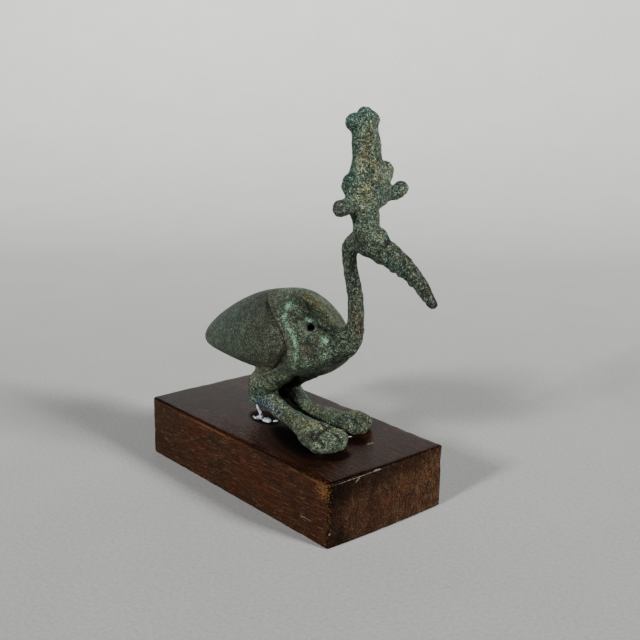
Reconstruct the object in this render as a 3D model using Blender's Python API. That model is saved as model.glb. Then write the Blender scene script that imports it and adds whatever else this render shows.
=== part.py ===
"""Ibis statuette: a small cast bronze ibis in a tall crown, set on a wooden block with clear glue.

The bird faces +X, its left side is +Y, and the block's underside lies on the ground at Z = 0.
The bird is a free form: its pose and carving are shares of its own height.
"""
import math

import bmesh
import bpy
import numpy as np
from mathutils import Vector

# Driving dimensions of the block, in metres
BLOCK_LENGTH = 0.092
BLOCK_WIDTH = 0.046
BLOCK_HEIGHT = 0.020
BLOCK_EDGE_ROUND = 0.0008
BLOCK_END_SWELL = 0.0006

# Driving dimensions of the bird, in metres
BIRD_HEIGHT = 0.0995
BIRD_OFF_MIDDLE = 0.001
WING_STEP = 0.0013
HOLE_WIDTH = 0.0026
HOLE_DEPTH = 0.0055

# Driving dimensions of the glue, in metres
GLUE_THICKNESS = 0.0011
GLUE_STRAND_WIDTH = 0.0013

# Clearance between pieces that touch
FIT_GAP = 0.0003

# The bird is drawn in hundredths of its own height
SHARE = BIRD_HEIGHT / 100
CAST_GRAIN = 0.5 * SHARE
CAST_FACES_KEPT = 0.075
GLUE_FACES_KEPT = 0.2

BRONZE_COLOUR = (0.085, 0.105, 0.080, 1.0)
WOOD_COLOUR = (0.070, 0.022, 0.012, 1.0)
GLUE_COLOUR = (0.80, 0.82, 0.84, 1.0)


def clear_scene():
    """Remove whatever the scene holds."""
    for thing in list(bpy.data.objects):
        bpy.data.objects.remove(thing, do_unlink=True)


def material(name, colour, roughness, metallic):
    """A plain Principled material."""
    finish = bpy.data.materials.new(name)
    finish.use_nodes = True
    shader = finish.node_tree.nodes["Principled BSDF"]
    shader.inputs["Base Color"].default_value = colour
    shader.inputs["Roughness"].default_value = roughness
    shader.inputs["Metallic"].default_value = metallic
    return finish


def add_object(name, shape, finish=None, place=(0, 0, 0)):
    """Put a bmesh into the scene as a named object, shaded smooth."""
    bmesh.ops.recalc_face_normals(shape, faces=shape.faces)
    mesh = bpy.data.meshes.new(name)
    shape.to_mesh(mesh)
    shape.free()
    mesh.shade_smooth()
    thing = bpy.data.objects.new(name, mesh)
    thing.location = place
    if finish:
        mesh.materials.append(finish)
    bpy.context.scene.collection.objects.link(thing)
    return thing


def add_cutter(name, shape, place=(0, 0, 0)):
    """A cutting body that is not part of the statuette."""
    cutter = add_object(name, shape, place=place)
    cutter.hide_render = True
    cutter.display_type = "WIRE"
    return cutter


def cut(thing, cutter, name):
    """Take a cutting body out of an object."""
    step = thing.modifiers.new(name, "BOOLEAN")
    step.operation = "DIFFERENCE"
    step.solver = "EXACT"
    step.object = cutter
    return step


def smooth_stations(stations, steps):
    """Even steps along a Catmull-Rom curve through the stations, all columns alike."""
    rows = np.array(stations, dtype=float)
    padded = np.vstack([2 * rows[0] - rows[1], rows, 2 * rows[-1] - rows[-2]])
    where = np.linspace(0, len(rows) - 1, steps)
    first = np.minimum(where.astype(int), len(rows) - 2)
    part = (where - first)[:, None]
    before, start, end, after = (padded[first + shift] for shift in range(4))
    return 0.5 * (
        2 * start
        + (end - before) * part
        + (2 * before - 5 * start + 4 * end - after) * part**2
        + (3 * start - before - 3 * end + after) * part**3
    )


def skin(shape, rings):
    """Close a stack of rings, each a list of points, into one body with a point at each end."""
    loops = [[shape.verts.new(point) for point in ring] for ring in rings]
    for near, far in zip(loops, loops[1:]):
        for index, vert in enumerate(near):
            following = (index + 1) % len(near)
            shape.faces.new((vert, near[following], far[following], far[index]))
    shape.faces.new(loops[0])
    shape.faces.new(list(reversed(loops[-1])))


def limb(shape, stations, across=(0, 1, 0), steps=30, sides=24, dome=6):
    """A bent round bar with domed ends.

    Each station is x, y, z, half-width along the across direction, half-thickness square to it.
    """
    rows = smooth_stations(stations, steps)
    centres = rows[:, :3]
    halves = rows[:, 3:5]
    tangents = np.gradient(centres, axis=0)
    tangents /= np.linalg.norm(tangents, axis=1)[:, None]
    dome_angles = np.linspace(0, math.pi / 2, dome + 1)[1:] * 0.97
    turns = np.linspace(0, 2 * math.pi, sides, endpoint=False)

    def ring(centre, tangent, half, shrink, push):
        side = np.array(across, dtype=float)
        side = side - tangent * side.dot(tangent)
        side /= np.linalg.norm(side)
        rise = np.cross(tangent, side)
        centre = centre + tangent * push
        ring_points = (
            centre
            + np.outer(np.cos(turns), side) * half[0] * shrink
            + np.outer(np.sin(turns), rise) * half[1] * shrink
        )
        return [Vector(point * SHARE) for point in ring_points]

    rings = []
    for angle in dome_angles[::-1]:
        push = -min(halves[0]) * math.sin(angle)
        rings.append(ring(centres[0], tangents[0], halves[0], math.cos(angle), push))
    for centre, tangent, half in zip(centres, tangents, halves):
        rings.append(ring(centre, tangent, half, 1, 0))
    for angle in dome_angles:
        push = min(halves[-1]) * math.sin(angle)
        rings.append(ring(centres[-1], tangents[-1], halves[-1], math.cos(angle), push))
    skin(shape, rings)


def lump(shape, centre, radii):
    """An egg-shaped lump with its radii along X, Y and Z."""
    x, y, z = centre
    made = bmesh.ops.create_uvsphere(shape, u_segments=20, v_segments=12, radius=SHARE)
    bmesh.ops.scale(shape, vec=radii, verts=made["verts"])
    bmesh.ops.translate(shape, vec=Vector((x, y, z)) * SHARE, verts=made["verts"])


def wing_relief(x, z, half_width, across):
    """How far the flank stands out: the wing behind its curved front edge, a groove before it.

    The front edge is a parabola, foremost at mid-height, that runs back to the ridge and the belly.
    """
    edge_x = 10.0
    edge_z = 28.0
    edge_curve = 0.10
    edge_softness = 0.3
    groove_inwards = -1.5
    groove_half_width = 1.2
    inwards = edge_x - edge_curve * (z - edge_z) ** 2 - x
    wing = 1 / (1 + np.exp(-inwards / edge_softness))
    groove = np.exp(-(((inwards - groove_inwards) / groove_half_width) ** 2))
    flank = np.abs(across) ** 0.8 * np.minimum(half_width / 6, 1)
    return WING_STEP / SHARE * flank * (wing - 0.6 * groove)


def body(shape):
    """The egg of the body with its two folded wings.

    It is a stack of upright sections. Each is a pointed arch above, for the ridge where the wings
    meet, and a round bowl below.
    """
    # Each row is x, height of the ridge, height of the belly, half-width
    profile = [
        (-42.2, 20.6, 17.2, 2.2),
        (-40.4, 23.8, 16.2, 4.6),
        (-36.0, 28.4, 15.3, 7.2),
        (-27.0, 34.2, 14.9, 9.8),
        (-16.0, 39.4, 14.8, 12.0),
        (-5.0, 42.5, 15.4, 13.0),
        (5.0, 43.9, 16.4, 13.0),
        (13.0, 41.2, 17.8, 11.4),
        (19.0, 35.6, 21.4, 8.6),
        (24.0, 32.4, 26.4, 6.0),
        (26.6, 32.2, 29.2, 3.8),
        (27.8, 32.0, 31.0, 1.6),
    ]
    rows = smooth_stations(profile, 150)
    turns = np.linspace(0, 2 * math.pi, 90, endpoint=False)
    across = np.cos(turns)
    up = np.sin(turns)
    rings = []
    for x, ridge, belly, half_width in rows:
        middle = belly + (ridge - belly) * 0.47
        rise = np.where(up > 0, ridge - middle, middle - belly)
        pinch = np.where(up > 0, 1 - 0.22 * up**2, 1 + 0.16 * up**2)
        z = middle + rise * up
        relief = wing_relief(x, z, half_width, across)
        y = (half_width * pinch + relief) * across
        rings.append([Vector((x, side, height)) * SHARE for side, height in zip(y, z)])
    skin(shape, rings)


def neck_and_beak(shape):
    """The slim neck, leaning back and turning over into the head and the long bent beak."""
    limb(shape, [
        (19.0, 0, 29.4, 6.6, 6.2),
        (24.3, 0, 31.0, 4.9, 4.7),
        (27.9, 0, 35.0, 3.1, 3.3),
        (28.9, 0, 39.6, 2.4, 2.6),
        (28.5, 0, 45.0, 2.3, 2.5),
        (27.0, 0, 51.0, 2.2, 2.4),
        (25.6, 0, 56.0, 2.0, 2.1),
        (25.6, 0, 59.6, 2.2, 2.5),
        (28.0, 0, 62.2, 2.8, 2.9),
        (31.5, 0, 62.8, 3.2, 3.4),
    ], steps=44)
    limb(shape, [
        (30.0, 0, 62.8, 3.4, 3.6),
        (34.0, 0, 62.7, 4.0, 4.6),
        (38.8, 0, 61.3, 3.5, 4.0),
        (44.4, 0, 59.5, 2.8, 3.2),
        (50.0, 0, 56.9, 2.2, 2.6),
        (55.0, 0, 53.3, 1.8, 2.1),
        (58.6, 0, 49.6, 1.5, 1.7),
    ], steps=40)
    lump(shape, (34.8, 0.4, 63.8), (4.5, 4.2, 4.0))


def crown(shape):
    """The crown: a bundle with side feathers, knobs on top and a horn to each side."""
    limb(shape, [
        (31.6, 0.8, 64.0, 4.4, 3.8),
        (31.4, 0.8, 68.4, 4.0, 3.5),
        (31.0, 0.0, 72.2, 4.9, 4.0),
        (30.7, 1.2, 76.6, 7.0, 4.6),
        (30.4, 1.8, 81.0, 7.2, 4.3),
        (30.2, 1.4, 85.2, 5.2, 3.6),
        (30.0, 0.9, 90.0, 4.8, 3.2),
        (29.8, 0.4, 94.0, 4.5, 3.0),
        (29.6, 0.1, 96.0, 4.5, 2.9),
    ], steps=40)
    limb(shape, [
        (33.6, 0.2, 71.0, 2.0, 1.7),
        (33.9, 1.0, 77.0, 2.6, 2.0),
        (33.2, 1.4, 82.0, 2.3, 1.9),
        (32.2, 0.8, 90.0, 1.9, 1.6),
        (31.9, 0.4, 95.0, 1.8, 1.4),
    ], steps=24)
    lump(shape, (29.6, -3.0, 95.8), (2.8, 2.8, 2.9))
    lump(shape, (29.6, 3.2, 96.6), (2.6, 2.1, 2.3))
    lump(shape, (29.6, 0.8, 98.1), (2.4, 2.2, 2.0))
    lump(shape, (30.4, 8.1, 81.8), (2.8, 2.6, 3.4))
    lump(shape, (30.4, -4.7, 78.6), (3.0, 2.3, 3.6))
    limb(shape, [
        (30.8, -2.0, 74.2, 3.0, 2.8),
        (30.8, -6.0, 73.0, 2.4, 2.5),
        (30.8, -8.9, 72.6, 2.3, 2.4),
    ], across=(1, 0, 0), steps=14)
    limb(shape, [
        (30.8, 3.0, 73.6, 3.0, 3.0),
        (30.8, 8.2, 75.0, 2.3, 2.3),
        (30.8, 12.8, 75.8, 2.1, 2.2),
        (30.8, 14.8, 76.9, 2.0, 2.2),
    ], across=(1, 0, 0), steps=18)


def leg(shape, y, thigh_x, hock_x, ankle_x, instep, foot_y, foot_tip, foot_half, toe_rise):
    """A squatting leg: thigh down to the raised hock, shank forward and down, broad paddle foot."""
    limb(shape, [
        (thigh_x, y, 20.0, 4.4, 7.0),
        (0.45 * thigh_x + 0.55 * hock_x + 0.9, y, 14.6, 4.0, 5.2),
        (hock_x + 1.2, y, 10.4, 3.8, 4.8),
        (hock_x + 0.3, y, 7.0, 3.5, 4.2),
    ], steps=20)
    shank = ankle_x - hock_x
    foot = foot_tip - ankle_x
    limb(shape, [
        (hock_x + 0.4, y, 6.6, 3.4, 4.0),
        (hock_x + 0.30 * shank, y, 6.1, 2.9, 3.1),
        (hock_x + 0.64 * shank, y, 2.4 + 0.50 * instep, 2.8, 1.1 + 0.40 * instep),
        (ankle_x, y, 0.8 * instep, 3.4, 0.76 * instep),
        (ankle_x + 0.38 * foot, 0.5 * (y + foot_y), 0.56 * instep, 0.9 * foot_half, instep),
        (foot_tip - 5.0, foot_y, 1.9, 0.92 * foot_half, 0.95 * toe_rise),
    ], steps=34)
    toe_radius = 0.5 * foot_half
    for side in (-1, 0, 1):
        toe_x = foot_tip - toe_radius - 0.9 - 1.5 * abs(side)
        toe_y = foot_y + side * 0.56 * foot_half
        limb(shape, [
            (foot_tip - 9.0, foot_y + side * 0.4 * foot_half, 2.6, toe_radius, 0.8 * toe_rise),
            (toe_x, toe_y, 2.2, toe_radius, 0.8 * toe_rise),
        ], steps=8)


def sole_cutter():
    """A slab that takes away all of the bird below its flat soles."""
    shape = bmesh.new()
    slab_thickness = 10 * SHARE
    slab_reach = 160 * SHARE
    bmesh.ops.create_cube(shape, size=1)
    bmesh.ops.scale(shape, vec=(slab_reach, slab_reach, slab_thickness), verts=shape.verts)
    place = (0, 0, BLOCK_HEIGHT + FIT_GAP - slab_thickness / 2)
    return add_cutter("sole_cutter", shape, place)


def hole_cutter():
    """A short round bar that leaves the hole in the shoulder, square to the surface there."""
    shape = bmesh.new()
    bmesh.ops.create_cone(
        shape, cap_ends=True, segments=20, depth=2 * HOLE_DEPTH,
        radius1=HOLE_WIDTH / 2, radius2=HOLE_WIDTH / 2,
    )
    mouth = Vector((16.6, -6.7, 35.7)) * SHARE
    mouth += Vector((0, BIRD_OFF_MIDDLE, BLOCK_HEIGHT))
    outward = Vector((0.60, -0.60, 0.53)).normalized()
    cutter = add_cutter("hole_cutter", shape, mouth)
    cutter.rotation_mode = "QUATERNION"
    cutter.rotation_quaternion = outward.to_track_quat("Z", "Y")
    return cutter


def melt_together(thing, fineness, faces_kept):
    """Melt overlapping forms into one skin, softened, with few faces."""
    soften_passes = 2
    melt = thing.modifiers.new("melt", "REMESH")
    melt.mode = "VOXEL"
    melt.voxel_size = CAST_GRAIN * fineness
    soften = thing.modifiers.new("soften", "SMOOTH")
    soften.factor = 0.5
    soften.iterations = soften_passes
    thin = thing.modifiers.new("thin", "DECIMATE")
    thin.ratio = faces_kept
    thin.use_collapse_triangulate = True


def make_ibis(sole_slab):
    """The bronze bird as one casting, with flat soles just clear of the block."""
    shape = bmesh.new()
    body(shape)
    neck_and_beak(shape)
    crown(shape)
    leg(shape, y=-6.2, thigh_x=1.0, hock_x=-9.6, ankle_x=12.4, instep=3.9,
        foot_y=-7.4, foot_tip=32.2, foot_half=6.4, toe_rise=3.9)
    leg(shape, y=6.6, thigh_x=1.2, hock_x=-11.3, ankle_x=1.4, instep=2.7,
        foot_y=9.2, foot_tip=26.4, foot_half=5.3, toe_rise=3.3)
    finish = material("bronze", BRONZE_COLOUR, 0.7, 0.35)
    ibis = add_object("ibis", shape, finish, (0, BIRD_OFF_MIDDLE, BLOCK_HEIGHT))
    melt_together(ibis, 1, CAST_FACES_KEPT)
    cut(ibis, sole_slab, "flat soles")
    cut(ibis, hole_cutter(), "hole")
    return ibis


def make_block():
    """The wooden block, its two ends slightly swollen and every edge slightly rounded."""
    shape = bmesh.new()
    slices = 12
    half_length = BLOCK_LENGTH / 2
    half_width = BLOCK_WIDTH / 2
    across = [-half_width + BLOCK_WIDTH * index / slices for index in range(slices + 1)]
    end_x = [half_length - BLOCK_END_SWELL * (y / half_width) ** 2 for y in across]
    outline = [(x, y) for x, y in zip(end_x, across)]
    outline += [(-x, -y) for x, y in zip(end_x, across)]
    lower = [shape.verts.new((x, y, 0)) for x, y in outline]
    underside = shape.faces.new(lower)
    raised = bmesh.ops.extrude_face_region(shape, geom=[underside])
    top = [item for item in raised["geom"] if isinstance(item, bmesh.types.BMVert)]
    bmesh.ops.translate(shape, vec=(0, 0, BLOCK_HEIGHT), verts=top)
    finish = material("varnished wood", WOOD_COLOUR, 0.35, 0.0)
    block = add_object("wooden_base", shape, finish)
    block.data.set_sharp_from_angle(angle=math.radians(35))
    rounding = block.modifiers.new("rounded edges", "BEVEL")
    rounding.width = min(BLOCK_EDGE_ROUND, BLOCK_HEIGHT / 3, BLOCK_WIDTH / 3)
    rounding.segments = 3
    rounding.limit_method = "ANGLE"
    rounding.angle_limit = math.radians(35)
    return block


def make_glue(sole_slab):
    """The clear dab of glue: a crescent on the block round the near hock, and a strand up to it."""
    half_thickness = GLUE_THICKNESS / 2 / SHARE
    strand = GLUE_STRAND_WIDTH / 2 / SHARE
    shape = bmesh.new()
    # Each row is x, y and half-width of the crescent
    crescent = [
        (-10.0, -6.8, 0.9),
        (-8.9, -9.0, 1.2),
        (-5.8, -9.9, 0.9),
        (-3.0, -9.5, 1.3),
        (-1.8, -6.8, 0.9),
    ]
    limb(shape, [
        (x, y, half_thickness, half_thickness, half_width) for x, y, half_width in crescent
    ], across=(0, 0, 1), steps=20, sides=12, dome=4)
    limb(shape, [
        (-7.4, -9.4, half_thickness, strand, strand),
        (-8.2, -8.9, 1.5, strand * 0.6, strand * 0.6),
        (-8.6, -8.4, 2.3, strand, strand * 0.8),
    ], steps=8, sides=12, dome=4)
    finish = material("clear glue", GLUE_COLOUR, 0.1, 0.0)
    glue = add_object("mounting_glue", shape, finish, (0, BIRD_OFF_MIDDLE, BLOCK_HEIGHT))
    melt_together(glue, 0.5, GLUE_FACES_KEPT)
    cut(glue, sole_slab, "flat underside")
    return glue


def main():
    clear_scene()
    make_block()
    sole_slab = sole_cutter()
    make_ibis(sole_slab)
    make_glue(sole_slab)


if __name__ == "__main__":
    main()
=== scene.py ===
"""Ibis statuette: the looks of a small cast bronze ibis, its varnished wooden block and its clear glue.

The bird faces +X, its left side is +Y, and the block's underside lies on the ground at Z = 0.
Places on the bird are given in hundredths of its own height: x and y from a point 1 mm to the left of
the middle of the block's top, z up from it.
"""
import math
from types import SimpleNamespace

import bmesh
import bpy
import numpy as np
from mathutils import Matrix, Vector


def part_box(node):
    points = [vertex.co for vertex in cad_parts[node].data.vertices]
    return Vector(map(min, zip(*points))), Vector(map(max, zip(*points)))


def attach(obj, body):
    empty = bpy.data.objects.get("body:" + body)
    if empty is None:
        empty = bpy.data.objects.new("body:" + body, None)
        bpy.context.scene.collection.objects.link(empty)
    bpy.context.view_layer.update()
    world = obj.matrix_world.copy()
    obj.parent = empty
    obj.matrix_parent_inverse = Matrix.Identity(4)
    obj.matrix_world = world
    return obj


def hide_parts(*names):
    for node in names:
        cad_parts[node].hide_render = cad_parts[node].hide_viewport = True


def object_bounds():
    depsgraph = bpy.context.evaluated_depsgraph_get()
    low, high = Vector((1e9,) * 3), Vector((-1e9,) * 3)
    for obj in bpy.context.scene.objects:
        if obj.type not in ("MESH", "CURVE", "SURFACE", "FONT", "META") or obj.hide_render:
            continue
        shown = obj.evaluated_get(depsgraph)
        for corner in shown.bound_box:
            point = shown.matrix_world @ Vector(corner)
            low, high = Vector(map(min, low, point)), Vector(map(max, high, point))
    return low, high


bl_info = {
    "name": "Ibis statuette",
    "version": (1, 0, 0),
    "blender": (4, 5, 0),
    "location": "3D View > Sidebar > Ibis",
    "description": "Dresses the packed ibis statuette: bronze bird, wooden block, glue and stage",
    "category": "Object",
}

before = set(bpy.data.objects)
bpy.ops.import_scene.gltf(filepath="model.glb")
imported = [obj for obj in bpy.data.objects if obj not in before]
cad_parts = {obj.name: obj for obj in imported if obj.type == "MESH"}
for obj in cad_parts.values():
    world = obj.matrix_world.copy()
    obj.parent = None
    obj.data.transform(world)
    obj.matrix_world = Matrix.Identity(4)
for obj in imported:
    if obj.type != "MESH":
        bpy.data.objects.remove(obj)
CAD_BOX = [list(corner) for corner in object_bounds()]
BLOCK_LOW, BLOCK_HIGH = (np.array(corner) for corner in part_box("wooden_base"))
BIRD_LOW, BIRD_HIGH = (np.array(corner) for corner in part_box("ibis"))

# One hundredth of the bird's height, and the point that its places start from
SHARE = (BIRD_HIGH[2] - BLOCK_HIGH[2]) / 100
BIRD_ORIGIN = np.array([0.0, 0.001, BLOCK_HIGH[2]])
MILLIMETRE = 0.001


# Shader sums

class Term:
    """A node's output that can stand in a sum."""

    def __init__(self, finish, socket):
        self.finish = finish
        self.socket = socket

    def __add__(self, other):
        return self.finish.maths("ADD", self, other)

    def __radd__(self, other):
        return self.finish.maths("ADD", other, self)

    def __sub__(self, other):
        return self.finish.maths("SUBTRACT", self, other)

    def __rsub__(self, other):
        return self.finish.maths("SUBTRACT", other, self)

    def __mul__(self, other):
        return self.finish.maths("MULTIPLY", self, other)

    def __rmul__(self, other):
        return self.finish.maths("MULTIPLY", other, self)

    def __rpow__(self, other):
        return self.finish.maths("POWER", other, self)


class Finish:
    """A material being made: its nodes are added one by one and read as terms."""

    def __init__(self, name):
        self.material = bpy.data.materials.new(name)
        self.material.use_nodes = True
        self.tree = self.material.node_tree
        self.shader = self.tree.nodes["Principled BSDF"]

    @staticmethod
    def pick(sockets, key):
        """A socket by its number, its identifier or its name."""
        if isinstance(key, int):
            return sockets[key]
        for socket in sockets:
            if socket.identifier == key:
                return socket
        return sockets[key]

    def put(self, socket, value):
        """Link a term to a socket, or set the socket to a value. A colour's alpha is added."""
        if isinstance(value, Term):
            self.tree.links.new(value.socket, socket)
        elif socket.type == "RGBA":
            socket.default_value = (*value, 1)
        else:
            socket.default_value = value

    def node(self, kind, settings=None, inputs=None, output=0):
        """Add any node: its settings first, then the values or links of its sockets."""
        made = self.tree.nodes.new(kind)
        for key, value in (settings or {}).items():
            setattr(made, key, value)
        for key, value in (inputs or {}).items():
            self.put(self.pick(made.inputs, key), value)
        return Term(self, self.pick(made.outputs, output))

    def maths(self, operation, left, right):
        return self.node("ShaderNodeMath", {"operation": operation}, {0: left, 1: right})

    def vector_maths(self, operation, left, right):
        return self.node("ShaderNodeVectorMath", {"operation": operation}, {0: left, 1: right})

    def place(self, scale=(1, 1, 1), turn=(0, 0, 0), centre=(0, 0, 0)):
        """Object coordinates in millimetres from a centre, turned back and scaled."""
        coordinates = self.node("ShaderNodeTexCoord", output="Object")
        centred = self.vector_maths("SUBTRACT", coordinates, [number * MILLIMETRE for number in centre])
        turned = self.node("ShaderNodeVectorRotate", {"rotation_type": "EULER_XYZ", "invert": True}, {
            "Vector": centred, "Rotation": turn,
        })
        return self.vector_maths("MULTIPLY", turned, [number / MILLIMETRE for number in scale])

    def noise(self, where, scale, detail=2.0, roughness=0.5, distortion=0.0):
        """Cloudy values about 0.5."""
        return self.node("ShaderNodeTexNoise", inputs={
            "Vector": where, "Scale": scale, "Detail": detail, "Roughness": roughness,
            "Distortion": distortion,
        })

    def chances(self, where, scale):
        """A random value for each of the cells round scattered points."""
        cells = {"Vector": where, "Scale": scale}
        colour = self.node("ShaderNodeTexVoronoi", inputs=cells, output="Color")
        return self.node("ShaderNodeSeparateColor", inputs={"Color": colour}, output="Red")

    def clamp(self, value):
        """A value kept between 0 and 1."""
        return self.node("ShaderNodeClamp", inputs={"Value": value})

    def between(self, value, low, high, most=1.0):
        """A smooth step from 0 at low to the most at high, either way round."""
        return self.node("ShaderNodeMapRange", {"interpolation_type": "SMOOTHSTEP"}, {
            "Value": value, "From Min": low, "From Max": high, "To Max": most,
        })

    def mix(self, share, first, second, blend="MIX"):
        """A colour between two, or the first blended with the second in another way."""
        return self.node("ShaderNodeMix", {"data_type": "RGBA", "blend_type": blend}, {
            "Factor_Float": share, "A_Color": first, "B_Color": second,
        }, "Result_Color")

    def brighten(self, colour, factor):
        """A colour times a number."""
        return self.node("ShaderNodeVectorMath", {"operation": "SCALE"}, {0: colour, "Scale": factor})

    def axis(self, where, name):
        """One of a place's numbers, X, Y or Z."""
        return self.node("ShaderNodeSeparateXYZ", inputs={"Vector": where}, output=name)

    def attribute(self, name, output="Fac"):
        return self.node("ShaderNodeAttribute", {"attribute_name": name}, output=output)

    def spot(self, centre, radii, strength=1.0, turn=(0, 0, 0)):
        """The strength inside an egg-shaped spot given in millimetres, 0 outside it."""
        scaled = self.place([1 / radius for radius in radii], turn, centre)
        away = self.node("ShaderNodeVectorMath", {"operation": "LENGTH"}, {0: scaled}, "Value")
        return self.between(away, 1.0, 0.6, strength)

    def spots(self, places):
        """The sum of several spots."""
        return sum(self.spot(*place) for place in places)

    def bump(self, height, distance):
        return self.node("ShaderNodeBump", inputs={"Height": height, "Distance": distance})

    def set(self, **sockets):
        """Put values or terms on the shader's own sockets, named with underscores for spaces."""
        for key, value in sockets.items():
            self.put(self.shader.inputs[key.replace("_", " ").title().replace("Ior", "IOR")], value)
        return self.material


# Shapes as arrays

def lattice_noise(points, spacing, seed):
    """Cloudy values from -1 to 1.

    Random numbers stand at the corners of a cubic lattice. Inside each cell they are blended along
    each axis by 3t^2 - 2t^3.
    """
    table = np.random.default_rng(seed).random((32, 32, 32)) * 2 - 1
    place = points / spacing
    cell = np.floor(place).astype(int)
    part = place - cell
    part = part * part * (3 - 2 * part)
    total = np.zeros(len(points))
    for corner in np.ndindex(2, 2, 2):
        weight = np.where(corner, part, 1 - part).prod(axis=1)
        index = (cell + corner) % 32
        total += weight * table[index[:, 0], index[:, 1], index[:, 2]]
    return total


def bell(distance, width):
    """The bell curve e^(-(distance / width)^2)."""
    return np.exp(-((distance / width) ** 2))


def step_up(value, softness):
    """The S-curve 1 / (1 + e^(-value / softness))."""
    return 1 / (1 + np.exp(-np.clip(value / softness, -40, 40)))


def from_point(at, centre):
    """Distance of each point from one place."""
    return np.linalg.norm(at - np.array(centre), axis=1)


def from_line(at, line):
    """Distance of each point from a bent line: the least of the distances to its straight parts."""
    nearest = np.full(len(at), np.inf)
    for start, end in zip(np.array(line[:-1]), np.array(line[1:])):
        along = end - start
        share = np.clip((at - start) @ along / (along @ along), 0, 1)
        foot = start + share[:, None] * along
        nearest = np.minimum(nearest, np.linalg.norm(at - foot, axis=1))
    return nearest


def near(at, place, width):
    """The bell of each point's distance from a place, which is one point or a bent line."""
    distance = from_line(at, place) if np.ndim(place) > 1 else from_point(at, place)
    return bell(distance, width)


def relax(mesh, points, passes):
    """Even out a mesh's points without shrinking its shape.

    Each pass moves every point 0.6 of the way to the mean of its neighbours, then 0.62 of such a
    way back again.
    """
    edges = read(mesh.edges, "vertices", 2, np.int32)
    start = np.concatenate([edges[:, 0], edges[:, 1]])
    end = np.concatenate([edges[:, 1], edges[:, 0]])
    count = np.bincount(start, minlength=len(points))[:, None]
    for part in (0.6, -0.62) * passes:
        total = np.stack([
            np.bincount(start, points[end, axis], len(points)) for axis in range(3)
        ], axis=1)
        points = points + part * (total / count - points)
    return points


def grid_faces(rows, columns, closed=False):
    """Corner numbers of the quads of a grid, its columns joined up when closed."""
    row = np.arange(rows - 1)[:, None]
    column = np.arange(columns if closed else columns - 1)[None, :]
    following = (column + 1) % columns
    corners = [row * columns + column, row * columns + following,
               (row + 1) * columns + following, (row + 1) * columns + column]
    return np.stack([corner.ravel() for corner in np.broadcast_arrays(*corners)], axis=1)


def curve_through(stations, steps):
    """Even steps along a Catmull-Rom curve through rows of numbers, all columns alike."""
    rows = np.array(stations, dtype=float)
    padded = np.vstack([2 * rows[0] - rows[1], rows, 2 * rows[-1] - rows[-2]])
    where = np.linspace(0, len(rows) - 1, steps)
    first = np.minimum(where.astype(int), len(rows) - 2)
    part = (where - first)[:, None]
    before, start, end, after = (padded[first + shift] for shift in range(4))
    return 0.5 * (
        2 * start
        + (end - before) * part
        + (2 * before - 5 * start + 4 * end - after) * part**2
        + (3 * start - before - 3 * end + after) * part**3
    )


def bead(stations, steps=40, sides=20):
    """Points and quads of a closed round strand.

    A circle is carried along a curve through the stations, each x, y, z, radius. Its radius is
    multiplied by the square root of 1 - t^8, t from -1 to 1 along it, so the ends close like a drop.
    """
    rows = curve_through(stations, steps)
    centres = rows[:, :3]
    along = np.gradient(centres, axis=0)
    along /= np.linalg.norm(along, axis=1)[:, None]
    side = np.cross(along, (0.3, 0.2, 0.93))
    side /= np.linalg.norm(side, axis=1)[:, None]
    rise = np.cross(along, side)
    where = np.linspace(-1, 1, steps)
    radius = rows[:, 3] * np.sqrt(np.maximum(1 - np.abs(where) ** 8, 0.0004))
    turn = np.linspace(0, 2 * math.pi, sides, endpoint=False)[None, :, None]
    points = centres[:, None] + radius[:, None, None] * (
        np.cos(turn) * side[:, None] + np.sin(turn) * rise[:, None]
    )
    return points.reshape(-1, 3), grid_faces(steps, sides, closed=True)


def stack(shapes):
    """Join several shapes, each its points and faces, into one."""
    starts = np.cumsum([0] + [len(points) for points, _ in shapes])
    faces = [quads + start for (_, quads), start in zip(shapes, starts)]
    return np.vstack([points for points, _ in shapes]), np.vstack(faces)


def add_piece(name, points, faces, finish=None):
    """Put arrays of points and faces into the scene as a named piece, shaded smooth."""
    mesh = bpy.data.meshes.new(name)
    mesh.from_pydata(points.tolist(), [], faces.tolist())
    mesh.validate()
    mesh.shade_smooth()
    piece = bpy.data.objects.new(name, mesh)
    bpy.context.scene.collection.objects.link(piece)
    if finish:
        mesh.materials.append(finish)
    return piece


def tidy_shell(piece, gap=1e-6):
    """Merge doubled points and turn every face outwards."""
    shell = bmesh.new()
    shell.from_mesh(piece.data)
    bmesh.ops.remove_doubles(shell, verts=shell.verts, dist=gap)
    bmesh.ops.recalc_face_normals(shell, faces=shell.faces)
    shell.to_mesh(piece.data)
    shell.free()


def melt(piece, fineness):
    """Replace a piece's mesh by an even skin of small quads."""
    step = piece.modifiers.new("melt", "REMESH")
    step.mode = "VOXEL"
    step.voxel_size = fineness
    settled = piece.evaluated_get(bpy.context.evaluated_depsgraph_get())
    mesh = bpy.data.meshes.new_from_object(settled)
    piece.modifiers.clear()
    old = piece.data
    piece.data = mesh
    bpy.data.meshes.remove(old)
    mesh.name = piece.name
    mesh.shade_smooth()


def read(items, name, width=3, kind=float):
    """One row of numbers for each of a mesh's points, normals or edges."""
    rows = np.empty(len(items) * width, dtype=kind)
    items.foreach_get(name, rows)
    return rows.reshape(-1, width)


def write_points(mesh, points):
    mesh.vertices.foreach_set("co", points.ravel())
    mesh.update()


def write_value(mesh, name, values):
    """Keep one number for each point under a name that a material can read."""
    mesh.attributes.new(name, "FLOAT", "POINT").data.foreach_set("value", values.astype(np.float32))


def write_colour(mesh, name, colours):
    """Keep one colour for each point under a name that a material can read."""
    full = np.ones((len(colours), 4), dtype=np.float32)
    full[:, :3] = colours
    mesh.attributes.new(name, "FLOAT_COLOR", "POINT").data.foreach_set("color", full.ravel())


def to_bird(points):
    """Places in hundredths of the bird's height."""
    return (points - BIRD_ORIGIN) / SHARE


# Settings

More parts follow.
